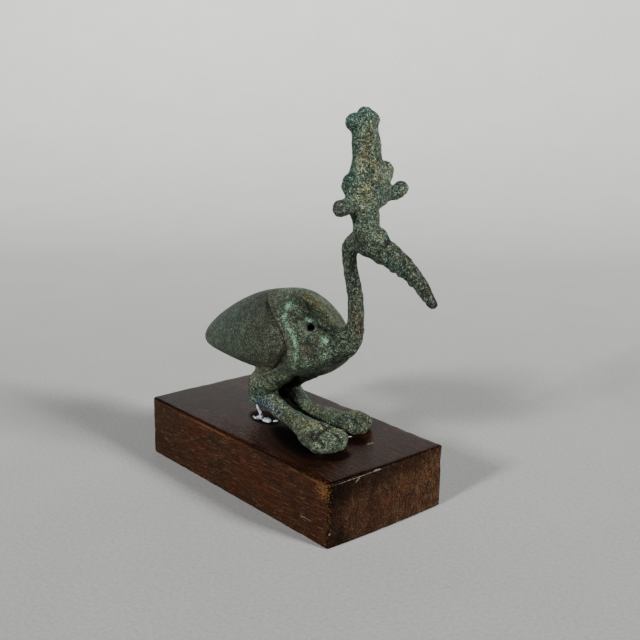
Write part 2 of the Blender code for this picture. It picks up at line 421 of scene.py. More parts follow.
def colour_setting(name, description, default, **limits):
    """A colour that can be changed in the sidebar."""
    return bpy.props.FloatVectorProperty(
        name=name, description=description, default=default, subtype="COLOR", **limits,
    )


def length_setting(name, description, default, least, most, digits):
    """A length in metres that can be changed in the sidebar."""
    return bpy.props.FloatProperty(
        name=name, description=description, default=default, min=least, max=most, precision=digits,
        unit="LENGTH",
    )


def power_setting(name, description, default):
    """A light's power in watts that can be changed in the sidebar."""
    return bpy.props.FloatProperty(name=name, description=description, default=default, unit="POWER")


# The bronze bird: places of its carving and its stains

HOLE = (16.6, -6.7, 35.7)
CROWN_STREAK = [(32.4, -2.2, 89.6), (32.7, -1.9, 87.9), (32.9, -1.8, 86.3)]
CROWN_FOLD = [(34.4, 0.3, 85.0), (34.9, 1.6, 82.8), (35.2, 1.0, 81.2), (35.6, 1.9, 79.5)]
CROWN_VALLEY = [(33.5, -1.1, 84.2), (34.6, -0.2, 82.5), (34.9, -0.9, 79.6), (35.5, -0.6, 76.9)]
CROWN_FRONT = [(33, -1.5, 93), (34, -2.2, 81), (34, -3.3, 75)]
CROWN_SIDE = [(35.5, 1.4, 79.4), (35.7, 1.9, 77.8), (35.3, 2.8, 75.8)]
CROWN_ROOT = [(30.7, -3.0, 67.3), (32.5, -3.1, 66.2)]
BROW_GROOVE = [(40.6, 2.0, 64.6), (41.6, -0.2, 64.6), (42.0, -3.0, 62.4)]
BROW_RIDGE = [(38.6, -3.0, 64.6), (38.8, 0.5, 65.6), (38.4, 3.0, 64.4)]
BEAK_TOP = [(49.0, 0.1, 60.6), (54.4, 0.1, 56.7), (58, 0, 51)]
BEAK_SIDE = [(43.6, -2.8, 59.1), (47.5, -2.1, 56.9), (52, -1.6, 54)]
BEAK_NUBS = [(44.2, -1.0, 56.6), (46.6, -0.8, 55.4), (42.0, -0.6, 57.4), (50.6, -1.0, 53.4)]
NECK_FRONT = [(29.5, 0.5, 36), (29.6, 0.5, 44)]
NECK_ROOT = [(30.6, -1.5, 40.6), (31.4, -0.4, 37.6), (31.2, -0.4, 35.6)]
BACK_SEAM = [(-9.8, -6.6, 38.9), (-7.0, -5.7, 40.2), (-2.2, -4.5, 41.7), (4.9, -3.8, 42.8)]
BACK_PALE = [(10.0, 0.0, 42.7), (11.1, 0.7, 42.2), (12.1, 1.6, 41.5)]
BACK_TEAL = [(13.4, 1.2, 41.0), (16.4, 2.4, 38.6)]
WING_TOP = [(-4.0, -8.0, 39.5), (4.0, -9.0, 37.5)]
WING_EDGE = [(-2.8, -8.2, 39.1), (0.7, -9.3, 38.1), (4.6, -10.8, 36.0), (7.7, -11.3, 33.9),
             (9.7, -11.5, 31.6), (10.7, -11.6, 29.3), (10.8, -11.4, 26.8), (8.4, -11.0, 23.0)]
CRUST_LINE = [(8.4, -10.3, 36.1), (10.8, -10.6, 34.7), (12.8, -10.5, 33.4), (13.9, -10.7, 31.6),
              (14.6, -10.8, 28.6), (14.4, -10.4, 25.3), (13.2, -9.8, 22.0)]
SHOULDER_CREASE = [(6.0, -3.0, 43.2), (9.0, -2.7, 42.5), (11.8, -2.2, 41.4), (13.6, -1.4, 40.6),
                   (15.4, -0.6, 39.3), (17.4, 0.9, 37.2)]
SHOULDER_TOP = [(9.0, -1.0, 42.8), (12.3, -0.3, 41.6), (14.5, 0.6, 40.0), (16.3, 1.5, 38.1),
                (19.6, 1.0, 36.0)]
SHOULDER_HOLLOW = [(9.9, -4.3, 41.4), (12.4, -3.8, 40.6), (14.0, -5.0, 38.8)]
SHOULDER_CRACK = [(17.2, -4.8, 35.5), (18.4, -3.6, 35.2), (19.8, -3.3, 34.4)]
HOOK_CRACK = [(12.4, -8.8, 36.4), (11.2, -8.7, 37.1), (12.2, -7.9, 37.5), (13.4, -7.3, 37.3)]
BROWN_PLACE = [(16.6, -9.7, 28.9), (20.0, -8.0, 28.8)]
BROWN_RIM = [(15.7, -9.8, 25.4), (15.3, -10.4, 28.0), (15.4, -10.2, 30.5), (17.4, -8.8, 31.0),
             (20.4, -7.6, 30.2)]
SMOOTH_PLACE = [(15.8, -9.8, 28.6), (20.3, -7.8, 29.2)]
SHANK_HIGHLIGHT = [(0.0, -6.0, 9.2), (4.0, -6.4, 8.0), (8.0, -6.6, 7.1), (12.0, -6.8, 6.3)]
HEEL = [(-6.5, -9.2, 5.7), (0.0, -9.8, 5.6), (3.5, -9.6, 4.6)]
FOOT_TOP = [(17.5, -9.6, 5.6), (24, -7.8, 6.2), (27, -4.0, 5.2)]
FOOT_GROOVE = [(19.8, -5.1, 5.9), (24.8, -5.5, 5.6), (28.0, -4.7, 5.1)]
NEAR_TOE_BREAK = [(25.4, -13.0, 4.4), (25.9, -12.0, 5.0), (25.4, -10.8, 5.4), (24.6, -7.7, 5.7),
                  (23.8, -3.8, 5.5)]
FAR_TOE_BREAK = [(20.2, 6.4, 4.9), (21.8, 8.8, 4.9), (23.6, 9.9, 4.5), (23.9, 11.6, 3.2)]
TOE_GROOVES = [
    [(24.0, -12.4, 4.6), (27.8, -12.7, 4.4), (30.4, -11.6, 2.6)],
    [(25.4, -7.6, 5.6), (28.7, -6.9, 5.2), (31.6, -6.4, 3.0)],
    [(18.7, 6.1, 5.0), (21.8, 6.7, 4.7), (25.4, 7.4, 3.0)],
    [(18.7, 10.8, 5.0), (22.0, 11.2, 4.2), (25.4, 11.6, 2.6)],
]
# Each place of turquoise crust and painted highlight, its width and its strength
CRUST_AND_GLINT_PLACES = [
    ((7.0, -7.3, 39.9), 2.3, 1.6), ((21.4, -5.4, 32.2), 1.8, 1.4), ((22.8, -6.2, 27.6), 2.4, 0.75),
    ((14.8, -6.2, 37.2), 1.1, 1.7), ((7.8, -9.4, 37.6), 1.3, 1.3), ((17.6, -8.4, 24.2), 2.0, 0.75),
]
# Each ridge, lump, groove or dip: its place, how far it stands out and its width
RELIEF = [
    (SHOULDER_CREASE, 0.26, 0.5), (HOOK_CRACK, -0.55, 0.4), (SHOULDER_CRACK, -0.45, 0.4),
    (WING_EDGE, -0.35, 0.5), (BROWN_RIM, -0.25, 0.5), ((12.9, -3.8, 40.2), -0.40, 2.0),
    ((18.4, -9.0, 28.8), -0.35, 2.6), (CROWN_STREAK, -0.22, 0.4), (CROWN_FOLD, -0.22, 0.5),
    (CROWN_VALLEY, -0.40, 0.55), ((33.4, 6.8, 78.0), 0.9, 1.5), (BROW_GROOVE, -0.5, 0.7),
    (BROW_RIDGE, 0.35, 1.3), (FOOT_GROOVE, -0.95, 0.6), (NEAR_TOE_BREAK, -0.80, 0.6),
    (FAR_TOE_BREAK, -0.60, 0.5), ((25.2, -12.6, 4.2), -0.45, 1.5),
    *((groove, -0.80, 0.5) for groove in TOE_GROOVES),
    *((nub, 0.55, 1.0) for nub in BEAK_NUBS),
]


def wing_inwards(at):
    """How far a point lies behind the wing's curved front edge, a parabola foremost at mid-height."""
    return 10.0 - 0.10 * (at[:, 2] - 28) ** 2 - at[:, 0]


def bird_zones(at):
    """Shares from 0 to 1 that say which part of the bird a point belongs to."""
    x, _, z = at.T
    body = step_up(z - 15.2, 0.6) * step_up(27.0 - x - 0.4 * np.maximum(z - 33, 0), 0.8)
    body *= step_up(46.5 - z, 0.5)
    wing = body * step_up(wing_inwards(at), 0.25)
    breast = body * step_up(x - 21.0 + 0.25 * (z - 30), 1.2)
    return SimpleNamespace(
        body=body,
        wing=wing,
        breast=breast,
        front=body - wing,
        shoulder=(body - wing - breast).clip(0),
        crown=step_up(z - 67.5, 0.8),
        legs=step_up(15.6 - z, 0.7),
    )


def carve_bird(at, zones, depth):
    """How far each point of the bronze moves outwards, in hundredths of the bird's height.

    It is a sum of grooves and ridges along lines, bell-shaped in section, and of cloudy grain whose
    depth depends on the part of the bird.
    """
    z = at[:, 2]
    near_side = step_up(-at[:, 1] - 1.0, 0.8)
    inwards = wing_inwards(at)
    flank = zones.body * step_up(np.abs(at[:, 1]) - 3.0, 1.0)
    ridge = 0.20 * bell(inwards - 0.6, 0.5)
    groove = 0.35 * bell(inwards + 0.35, 0.35) * step_up(33 - z, 1.5)
    # The solid's groove is filled to a thin line, and more so towards the back
    filling = bell(inwards + 1.6, 1.2) * (0.22 + 0.45 * step_up(z - 31, 1.5))
    move = flank * (ridge - groove + filling)
    crust = 0.30 + 0.35 * lattice_noise(at, 0.9, 11)
    move += near_side * (crust * near(at, CRUST_LINE, 0.9) - 0.18 * near(at, BACK_SEAM, 0.8))
    move += 0.22 * bell(from_point(at, HOLE) - 2.0, 0.45)
    for place, rise, width in RELIEF:
        move += rise * near(at, place, width)

    rough = 1 - 0.82 * zones.wing - 0.60 * zones.shoulder
    broad = lattice_noise(at, 3.2, 3) * 0.26 * (1 - zones.body)
    coarse = lattice_noise(at, 1.5, 5) * 0.9
    grain = lattice_noise(at, 0.8, 7)
    pits = -np.maximum(lattice_noise(at, 1.1, 9) - 0.35, 0) * 2.2
    return move + broad + depth * rough * (coarse + grain + pits)


def stain_bird(at, zones, move, settings):
    """A colour for each point: a chain of blends, each to a named stain by a share from 0 to 1.

    The share of each stain is a bell about a place or line, or a zone, broken up by cloudy values.
    """
    x, y, z = at.T
    near_side = step_up(-y - 0.5, 1.2)
    cloud = lattice_noise(at, 4.5, 21)
    blotch = lattice_noise(at, 2.0, 23)
    fleck = lattice_noise(at, 0.9, 25)
    patchy = 0.5 + 0.5 * blotch + 0.3 * fleck
    inwards = wing_inwards(at)
    colour = np.tile(settings.green, (len(at), 1))

    def blend(name, share):
        nonlocal colour
        share = np.clip(share, 0, 1)[:, None]
        colour = colour * (1 - share) + np.array(getattr(settings, name)) * share

    def mark(name, strength, place, width, broken=1):
        blend(name, strength * near(at, place, width) * broken)

    # The crown and head
    blend("pale", zones.crown * (0.68 + 0.5 * blotch))
    blend("teal", zones.crown * (0.10 + 0.8 * bell(x - 30.0, 3.0) * step_up(-y - 1, 1.5) + 0.5 * cloud))
    blend("teal", zones.crown * bell(z - 97, 3.5) * 0.8 * patchy)
    mark("yellow", 0.85, CROWN_FRONT, 2.2, patchy)
    mark("teal", 0.7, CROWN_SIDE, 1.2)
    mark("dark", 0.5, CROWN_VALLEY, 0.5)
    blend("tan", 0.95 * near(at, CROWN_STREAK, 0.4) + 0.9 * near(at, CROWN_FOLD, 0.4))
    mark("dark", 0.6, np.array(CROWN_STREAK) + (0.3, 0.9, 0), 0.5)
    mark("dark", 0.7, (30.8, 16.2, 77.4), 2.0, patchy)
    mark("dark", 0.7, (30.8, -10.6, 72.4), 1.8, patchy)
    mark("mauve", 0.8, (31.0, -10.8, 73.2), 2.0)
    mark("dark", 0.6, CROWN_ROOT, 1.4)
    mark("mauve", 0.6, BEAK_TOP, 2.2, patchy)
    mark("teal", 0.5, BEAK_SIDE, 1.8)
    # The neck
    blend("dark", 0.16 * step_up(z - 41, 2) * step_up(61 - z, 2) * (1 - zones.body))
    mark("mauve", 0.55, NECK_FRONT, 2.6, patchy)
    mark("ochre", 0.5, NECK_ROOT, 1.4)
    # The wings and the back
    blend("teal", zones.wing * (0.25 * step_up(-x - 8, 6) + 0.45 * step_up(z - 33 - 0.3 * x, 4) * patchy))
    blend("olive", zones.wing * (0.55 * bell(x - 1, 9) + 0.3 * blotch))
    blend("mauve", zones.wing * 0.60 * bell(inwards - 0.5, 2.6) * step_up(26 - z, 3))
    mark("dark", 0.75, BACK_SEAM, 1.6, near_side * (0.6 + 0.6 * fleck))
    blend("rust", zones.wing * near_side * 0.7 * bell(inwards - 1.2, 2.2) * bell(z - 21, 5) * patchy)
    mark("rust", 0.55, WING_TOP, 3.0, zones.body * patchy)
    # Painted shade in the groove before the wing's lower front edge
    blend("dark", zones.wing * near_side * 0.7 * bell(inwards, 0.5) * step_up(33 - z, 1.5))
    blend("yellow", zones.wing * 0.12 * step_up(25 - z, 2))
    blend("dark", zones.wing * step_up(z - 22, 3) * (0.16 + 0.2 * blotch))
    # The shoulder
    blend("olive", zones.shoulder * 0.6)
    blend("pale", zones.shoulder * 0.85 * patchy)
    blend("teal", zones.shoulder * 0.40 * (0.5 - 0.5 * cloud))
    band = zones.front * near_side * bell(inwards + 1.7, 1.2)
    blend("mauve", band * 0.8 * step_up(z - 22, 3))
    blend("rose", band * bell(z - 33.0, 5.5))
    mark("olive", 0.40, SHOULDER_TOP, 2.4)
    mark("yellow", 0.45, SHOULDER_TOP, 2.4)
    mark("yellow", 0.75, SHOULDER_CREASE[1:5], 0.6)
    mark("tan", 0.25, SHOULDER_CREASE[1:5], 0.5, 0.5 + fleck)
    mark("pale", 0.8, BACK_PALE, 1.1)
    mark("teal", 0.6, BACK_TEAL, 1.0)
    mark("dark", 0.9, SHOULDER_HOLLOW, 1.5, 0.7 + 0.5 * blotch)
    blend("dark", 0.95 * near(at, HOOK_CRACK, 0.5) + 0.9 * near(at, SHOULDER_CRACK, 0.5))
    # Painted shade along the wing's front edge, where the wing stands proud
    mark("dark", 0.95, WING_EDGE, 0.70)
    mark("rust", 0.50, BROWN_PLACE, 2.8, 0.8 + 0.4 * blotch)
    mark("olive", 0.70, BROWN_PLACE, 2.8)
    mark("ochre", 0.35, BROWN_PLACE, 2.8, 0.3 + 0.9 * fleck)
    mark("dark", 0.8, BROWN_RIM, 0.55, 0.7 + 0.5 * fleck)
    # The breast and the crust
    blend("dark", zones.breast * (0.35 + 0.4 * blotch))
    blend("teal", zones.breast * 0.25 * patchy)
    mark("pale", 0.45, (23.6, -5.6, 28.4), 4.0, near_side * patchy)
    mark("teal", 0.7, CRUST_LINE, 2.0, near_side * (0.6 + 0.5 * fleck))
    mark("pale", 0.8, CRUST_LINE[2:], 1.3, near_side * (0.6 + 0.6 * fleck))
    # Pale crust at each place, partly a painted highlight
    for centre, width, most in CRUST_AND_GLINT_PLACES:
        rim = bell(from_point(at, centre) - 1.2 * width, 0.8 * width)
        blend("dark", 0.25 * most * rim * (0.5 + 0.9 * fleck))
        mark("pale", 0.45 * most, centre, width, 0.5 + 0.7 * fleck)
    # The legs and feet
    blend("yellow", zones.legs * (0.16 + 0.36 * blotch + 0.22 * cloud))
    blend("teal", zones.legs * (0.22 - 0.4 * cloud) * step_up(16 - x, 3))
    # Painted highlight along the near shank's upper edge
    mark("pale", 0.30, SHANK_HIGHLIGHT, 1.1, 0.5 + 0.8 * fleck)
    blend("pale", zones.legs * 0.55 * bell(z - 13.0, 3.0) * patchy)
    mark("pale", 0.95, (25.5, -9.0, 6.0), 8.0, patchy + 0.15)
    # Painted shade: the far leg black where the two hocks stand close together
    blend("dark", 0.95 * gap_shade(at))
    mark("yellow", 0.95, FOOT_TOP, 2.4, patchy)
    blend("teal", zones.legs * 0.5 * step_up(x - 27, 2) * (0.5 + 0.6 * cloud))
    for groove in (FOOT_GROOVE, NEAR_TOE_BREAK, FAR_TOE_BREAK, *TOE_GROOVES):
        mark("dark", 0.75, groove, 0.55, 0.8 + 0.4 * blotch)
    mark("blue", 0.65, HEEL, 2.2)
    mark("mauve", 0.7, (25.2, -12.6, 4.0), 1.7)
    # Hollows keep dirt and high places are rubbed lighter
    blend("dark", np.clip(-move * 1.5 - 0.12, 0, 0.85))
    blend("pale", np.clip(move * 1.1 - 0.10, 0, 0.45) * (1 - zones.wing))
    return colour


def gap_shade(at):
    """Share of painted shade on the far leg where the two hocks stand close together."""
    x, y, z = at.T
    return step_up(5.6 - y, 0.5) * step_up(y, 0.5) * step_up(-1.8 - x, 0.5) * step_up(13.5 - z, 0.6)


def coarse_bird(at, zones):
    """How coarse the grain is, from 0 to 1: less on the wings, the shoulder, bare metal and painted shade.
    """
    smooth = 0.36 * zones.wing + 0.42 * zones.shoulder + 0.8 * gap_shade(at)
    smooth += 0.6 * near(at, CROWN_STREAK, 0.5) + 0.6 * near(at, CROWN_FOLD, 0.5)
    smooth += 0.30 * near(at, SMOOTH_PLACE, 2.6) + 0.25 * near(at, SHOULDER_TOP, 2.2)
    return np.clip(1 - smooth, 0, 1)


def crust_and_glint_bird(at):
    """How thick the turquoise crust lies, and so where highlights are painted, from 0 up: bells about a
    line and a few places.
    """
    near_side = step_up(-at[:, 1] - 0.5, 1.2)
    cloud = 0.75 + 0.5 * lattice_noise(at, 1.6, 27)
    thick = 0.92 * near(at, CRUST_LINE, 1.0)
    for centre, width, most in CRUST_AND_GLINT_PLACES:
        thick = np.maximum(thick, most * near(at, centre, width))
    return near_side * cloud * thick


def bronze_finish(settings):
    """Corroded bronze: the points' own stains, broken into fine grains of different brightness.

    The grains lie on several scales, and their brightness is 2 to the power of the clouds' sum. Where
    the attribute called coarse is high they are strong, with dark pits and pale crystals. Where it is
    low they melt into a soft mottling with a slight sheen.
    """
    finish = Finish("patinated bronze")
    stain = finish.attribute("stain", "Color")
    coarse = finish.attribute("coarse")
    where = finish.place()
    turned = finish.place(turn=(1.1, 0.4, 0.7))
    fine = finish.noise(where, 3.0, 2.0, 0.6)
    grain = finish.noise(where, 2.1, 4.0, 0.8)
    mottle = finish.noise(turned, 0.62, 3.0, 0.65, 0.4)
    cloud = finish.noise(where, 0.22, 3.0, 0.6)
    grits = finish.chances(turned, 2.0)
    crystals = finish.chances(where, 2.6)
    crust = finish.attribute("crust")

    stops = (grain - 0.5) * (3.8 + coarse * 5.7) + (grits - 0.5) * (0.5 + coarse * 2.1)
    stops = stops + (fine - 0.5) * (3.0 + coarse * 5.6)
    stops = stops + (mottle - 0.5) * (4.4 - coarse * 2.0) + (cloud - 0.5) * 1.2
    base = finish.brighten(stain, 2.0 ** stops)
    warmth = finish.between(finish.noise(turned, 0.95, 3.0, 0.7), 0.36, 0.64)
    base = finish.mix(0.8, base, finish.mix(warmth, settings.cool, settings.warm), "MULTIPLY")
    # Pale crystals of the crust, partly painted highlights
    glints = finish.between((grain - 0.5) * 2.6 + (fine - 0.5) * 2.2 + crust * 0.80, 0.60, 0.78)
    base = finish.mix(glints * 0.9, base, settings.bright)
    pits = finish.between(grain + (fine - 0.5) * 0.5, 0.40, 0.30) * (coarse * 0.85)
    base = finish.mix(pits, base, settings.pit_colour)
    specks = finish.between(crystals + (fine - 0.5) * 0.4, 0.94, 0.99) * (coarse * 0.7 + 0.02)
    base = finish.mix(specks, base, settings.speck_colour)

    height = grain * 1.6 + fine * 0.9 + mottle * 0.5 + grits * 0.3 - pits * 0.3
    relief = finish.bump(height * (coarse * 0.8 + 0.2), settings.grain_height)
    return finish.set(
        base_color=base,
        roughness=0.46 + coarse * 0.18 + (fine - 0.5) * 0.3 - specks * 0.15 - glints * 0.15,
        metallic=0.15,
        specular_ior_level=0.14,
        normal=relief,
    )


class BronzeSettings(bpy.types.PropertyGroup):
    """Sizes and colours of the bronze bird."""

    fineness: length_setting(
        "Mesh fineness", "Width of one face of the bird's skin", 0.000375, 0.0003, 0.002, 6,
    )
    corrosion: bpy.props.FloatProperty(
        name="Corrosion", description="Depth of the eaten surface, in hundredths of the bird's height",
        default=0.13, min=0, max=0.6,
    )
    grain_height: length_setting("Grain height", "Height of the finest grain", 0.00025, 0, 0.001, 5)
    green: colour_setting("Green", "Main patina", (0.0288, 0.0376, 0.0272))
    pale: colour_setting("Pale green", "Rubbed high places", (0.076, 0.092, 0.0656))
    teal: colour_setting("Teal", "Bluish patina", (0.0256, 0.048, 0.0384))
    olive: colour_setting("Olive", "Smooth brown-green skin", (0.0288, 0.0304, 0.0176))
    yellow: colour_setting("Yellow-green", "Ochre-green crust", (0.0736, 0.072, 0.0336))
    ochre: colour_setting("Ochre", "Bare brown metal", (0.048, 0.032, 0.0144))
    tan: colour_setting("Tan", "Bright streaks of bare metal", (0.16, 0.124, 0.068))
    rose: colour_setting("Rose grey", "Smooth band before the wings", (0.068, 0.0576, 0.0512))
    rust: colour_setting("Rust", "Dark reddish-brown skin", (0.032, 0.0176, 0.0112))
    mauve: colour_setting("Mauve", "Purplish-brown skin", (0.0336, 0.024, 0.0208))
    blue: colour_setting("Blue", "Bluish tinge at the heel", (0.032, 0.0448, 0.0656))
    # Pale crystals, also the colour of the painted highlights on the crust
    bright: colour_setting("Turquoise", "Pale crystals", (0.19, 0.38, 0.25))
    # Dirt in hollows, and also the colour of the painted shade along the wing's edge and between the hocks
    dark: colour_setting("Dark", "Dirt in hollows", (0.0088, 0.0088, 0.0064))
    pit_colour: colour_setting("Pits", "Fine pits", (0.0048, 0.0056, 0.004))
    speck_colour: colour_setting("Specks", "Fine pale specks", (0.184, 0.216, 0.176))
    cool: colour_setting(
        "Cool shift", "What the colours are multiplied by in cool places", (0.82, 1.03, 1.08), max=2,
    )
    warm: colour_setting(
        "Warm shift", "What the colours are multiplied by in warm places", (1.22, 1.00, 0.80), max=2,
    )


def soften_skin(mesh):
    """The points of the bird's skin evened out, most of all on the body.

    There the skin loses the solid's flat faces, while the hole and the wing's edge stay sharp.
    """
    points = relax(mesh, read(mesh.vertices, "co"), 12)
    at = to_bird(points)
    share = bird_zones(at).body * (1 - near(at, HOLE, 3.6)) * (1 - 0.7 * bell(wing_inwards(at), 1.6))
    return points + (relax(mesh, points, 60) - points) * share[:, None]


class IBIS_OT_bronze(bpy.types.Operator):
    """Carve and stain the bronze bird"""

    bl_idname = "ibis.bronze"
    bl_label = "Bronze bird"

    def execute(self, context):
        settings = context.scene.ibis_bronze
        bird = bpy.data.objects.new("bronze_bird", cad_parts["ibis"].data.copy())
        context.scene.collection.objects.link(bird)
        tidy_shell(bird)
        melt(bird, settings.fineness)
        mesh = bird.data
        points = soften_skin(mesh)
        write_points(mesh, points)
        at = to_bird(points)
        zones = bird_zones(at)
        move = carve_bird(at, zones, settings.corrosion)
        # The soles stay flat and reach down to the block
        move *= 1 - step_up(0.9 - at[:, 2], 0.12)
        points = points + read(mesh.vertex_normals, "vector") * (move * SHARE)[:, None]
        gap = BIRD_LOW[2] - BLOCK_HIGH[2]
        points[:, 2] -= gap * np.clip(1 - (points[:, 2] - BIRD_LOW[2]) / (6 * gap), 0, 1)
        points = np.clip(points, (*CAD_BOX[0][:2], BLOCK_HIGH[2]), CAD_BOX[1])
        write_points(mesh, points)
        write_colour(mesh, "stain", stain_bird(at, zones, move, settings))
        write_value(mesh, "coarse", coarse_bird(at, zones))
        write_value(mesh, "crust", crust_and_glint_bird(at))
        mesh.materials.clear()
        mesh.materials.append(bronze_finish(settings))
        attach(bird, "root")
        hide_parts("ibis")
        return {"FINISHED"}


# The wooden block

class BlockSettings(bpy.types.PropertyGroup):
    """Sizes and colours of the wooden block."""

    edge_round: length_setting("Edge rounding", "Radius of the block's edges", 0.0008, 0.0002, 0.004, 4)
    end_swell: length_setting(
        "End swell", "How far the middle of each end stands out past its corners", 0.0006, 0, 0.003, 4,
    )
    grid_step: length_setting("Grid step", "Width of one face on the flat sides", 0.001, 0.0005, 0.01, 4)
    # Colour of the painted shade along the top edges and of the dents
    edge_shade_and_dents: colour_setting("Dark wood", "Dark grain", (0.0048, 0.00224, 0.0016))
    red_wood: colour_setting("Red wood", "Redder heart of the grain", (0.024, 0.0084, 0.0044))
    brown_wood: colour_setting("Brown wood", "Browner part of the grain", (0.024, 0.0124, 0.0068))
    fleck: colour_setting("Flecks", "Light dashes of the grain", (0.092, 0.0464, 0.0216))
    # Rubbed wood, also the colour of the painted highlight line under the top edge
    worn_and_highlight: colour_setting("Worn wood", "Rubbed edges", (0.12, 0.056, 0.0192))
    scuff: colour_setting("Scuffs", "Pale scratches and dust", (0.208, 0.176, 0.152))
    # Colour of the painted shadow round and between the feet
    cast_shade_colour: colour_setting("Dirt", "Dull dirt between and round the feet", (0.0016, 0.0012, 0.0008))


def box_lines(half, rounding, step):
    """Where the grid lines cross a side: evenly on the flat, by the tangent over the rounded edge."""
    flat = half - rounding
    edge = flat + rounding * np.tan(np.linspace(0, math.pi / 4, 5)[1:])
    middle = np.linspace(-flat, flat, 2 * round(flat / step) + 1)
    return np.concatenate([-edge[::-1], middle, edge])


def block_shape(half, rounding, swell, step):
    """Points and quads of a rounded box about the origin.

    Each side is a flat grid. A grid point is pulled to the nearest point of an inner box, smaller by
    the edge radius, and pushed out from there by that radius. The radius grows with cloudy values.
    The ends then fall back towards their corners with the square of y and the cube of x.
    """
    lines = [box_lines(size, rounding, step) for size in half]
    sides = []
    for axis in range(3):
        across, up = (axis + 1) % 3, (axis + 2) % 3
        for sign in (-1, 1):
            first, second = np.meshgrid(lines[across], lines[up][::sign], indexing="ij")
            side = np.empty((first.size, 3))
            side[:, axis] = sign * half[axis]
            side[:, across] = first.ravel()
            side[:, up] = second.ravel()
            sides.append((side, grid_faces(*first.shape)))
    points, faces = stack(sides)
    at = points / MILLIMETRE
    wear = lattice_noise(at, 6.0, 31) + 0.6 * lattice_noise(at, 2.2, 33)
    radius = (rounding * (1 + 0.9 * np.clip(wear, 0, 1)))[:, None]
    inner = np.clip(points, radius - half, half - radius)
    away = points - inner
    points = inner + radius * away / np.linalg.norm(away, axis=1)[:, None]
    points[:, 0] -= swell * (points[:, 1] / half[1]) ** 2 * (points[:, 0] / half[0]) ** 3
    return points, faces


def edge_nearness(points, half, width):
    """1 on an edge and 0 away from it: the bell of the second least distance to the sides."""
    depths = np.sort(half - np.abs(points), axis=1)
    return bell(depths[:, 1], width)


# Each worn place, in millimetres from the block's middle: its middle, its half-sizes and its strength
WORN_PLACES = [
    ((43.0, -23.0, 7.0), (3.6, 1.5, 3.6), 0.85),
    ((45.5, -23.0, 1.0), (1.2, 1.2, 8.0), 0.55),
    ((46.0, 6.0, 1.0), (1.5, 10.0, 3.6), 0.40),
    ((46.0, 16.0, 3.0), (1.5, 6.0, 6.0), 0.40),
    ((38.0, -6.0, 10.0), (7.0, 14.0, 1.0), 0.22),
    ((46.0, 20.0, 9.6), (2.0, 3.0, 1.0), 0.35),
]

# Spots on the block, in millimetres: each one's middle and its half-sizes, then its strength and its
# turn where these differ from 1 and none
DENTS = [
    ((-25.9, -11.4, 20.0), (1.0, 0.5, 0.4)),
    ((-16.8, -12.2, 20.0), (0.8, 0.5, 0.4)),
    ((-29.2, -5.0, 20.0), (0.5, 0.4, 0.4)),
]
SCUFFS = [
    ((31.2, 6.1, 20.0), (0.5, 1.7, 0.4), 1.0, (0, 0, -0.1)),
    ((36.2, -23.0, 6.2), (3.4, 0.5, 0.16)),
    ((45.8, -12.5, 19.2), (1.2, 11.0, 0.14), 1.0, (0.02, 0, 0)),
    ((46.0, -12.5, 18.4), (1.2, 1.3, 0.30), 1.0, (0.7, 0, 0)),
    ((46.0, -5.2, 19.4), (1.2, 1.7, 0.35)),
    ((45.8, -22.2, 4.6), (1.2, 0.5, 0.5)),
]
# Painted shadow and painted reflection of the bird on the top, between and round the feet
CAST_SHADE_SPOTS = [
    ((-13.0, 11.2, 20.0), (14.0, 4.6, 0.6), 1.0, (0, 0, -0.41)),
    ((16.5, -11.2, 20.0), (18.0, 5.2, 0.6), 0.65, (0, 0, -0.28)),
    ((17.5, -12.2, 20.0), (23.0, 8.8, 0.6), 0.40, (0, 0, -0.28)),
    ((32.2, -8.5, 20.0), (4.2, 6.0, 0.6), 0.90),
    ((-6.0, -5.0, 20.0), (8.5, 5.5, 0.6), 0.90, (0, 0, -0.20)),
    ((27.0, 4.0, 20.0), (5.0, 4.0, 0.6), 0.70),
]


def wear_block(at, nearness):
    """How rubbed the block is, from 0 to 1: bells about a few worn places, and the edges."""
    wear = 0.25 * nearness
    for centre, radii, most in WORN_PLACES:
        away = np.linalg.norm((at - np.array(centre)) / np.array(radii), axis=1)
        wear = np.maximum(wear, most * bell(away, 1.0))
    return wear


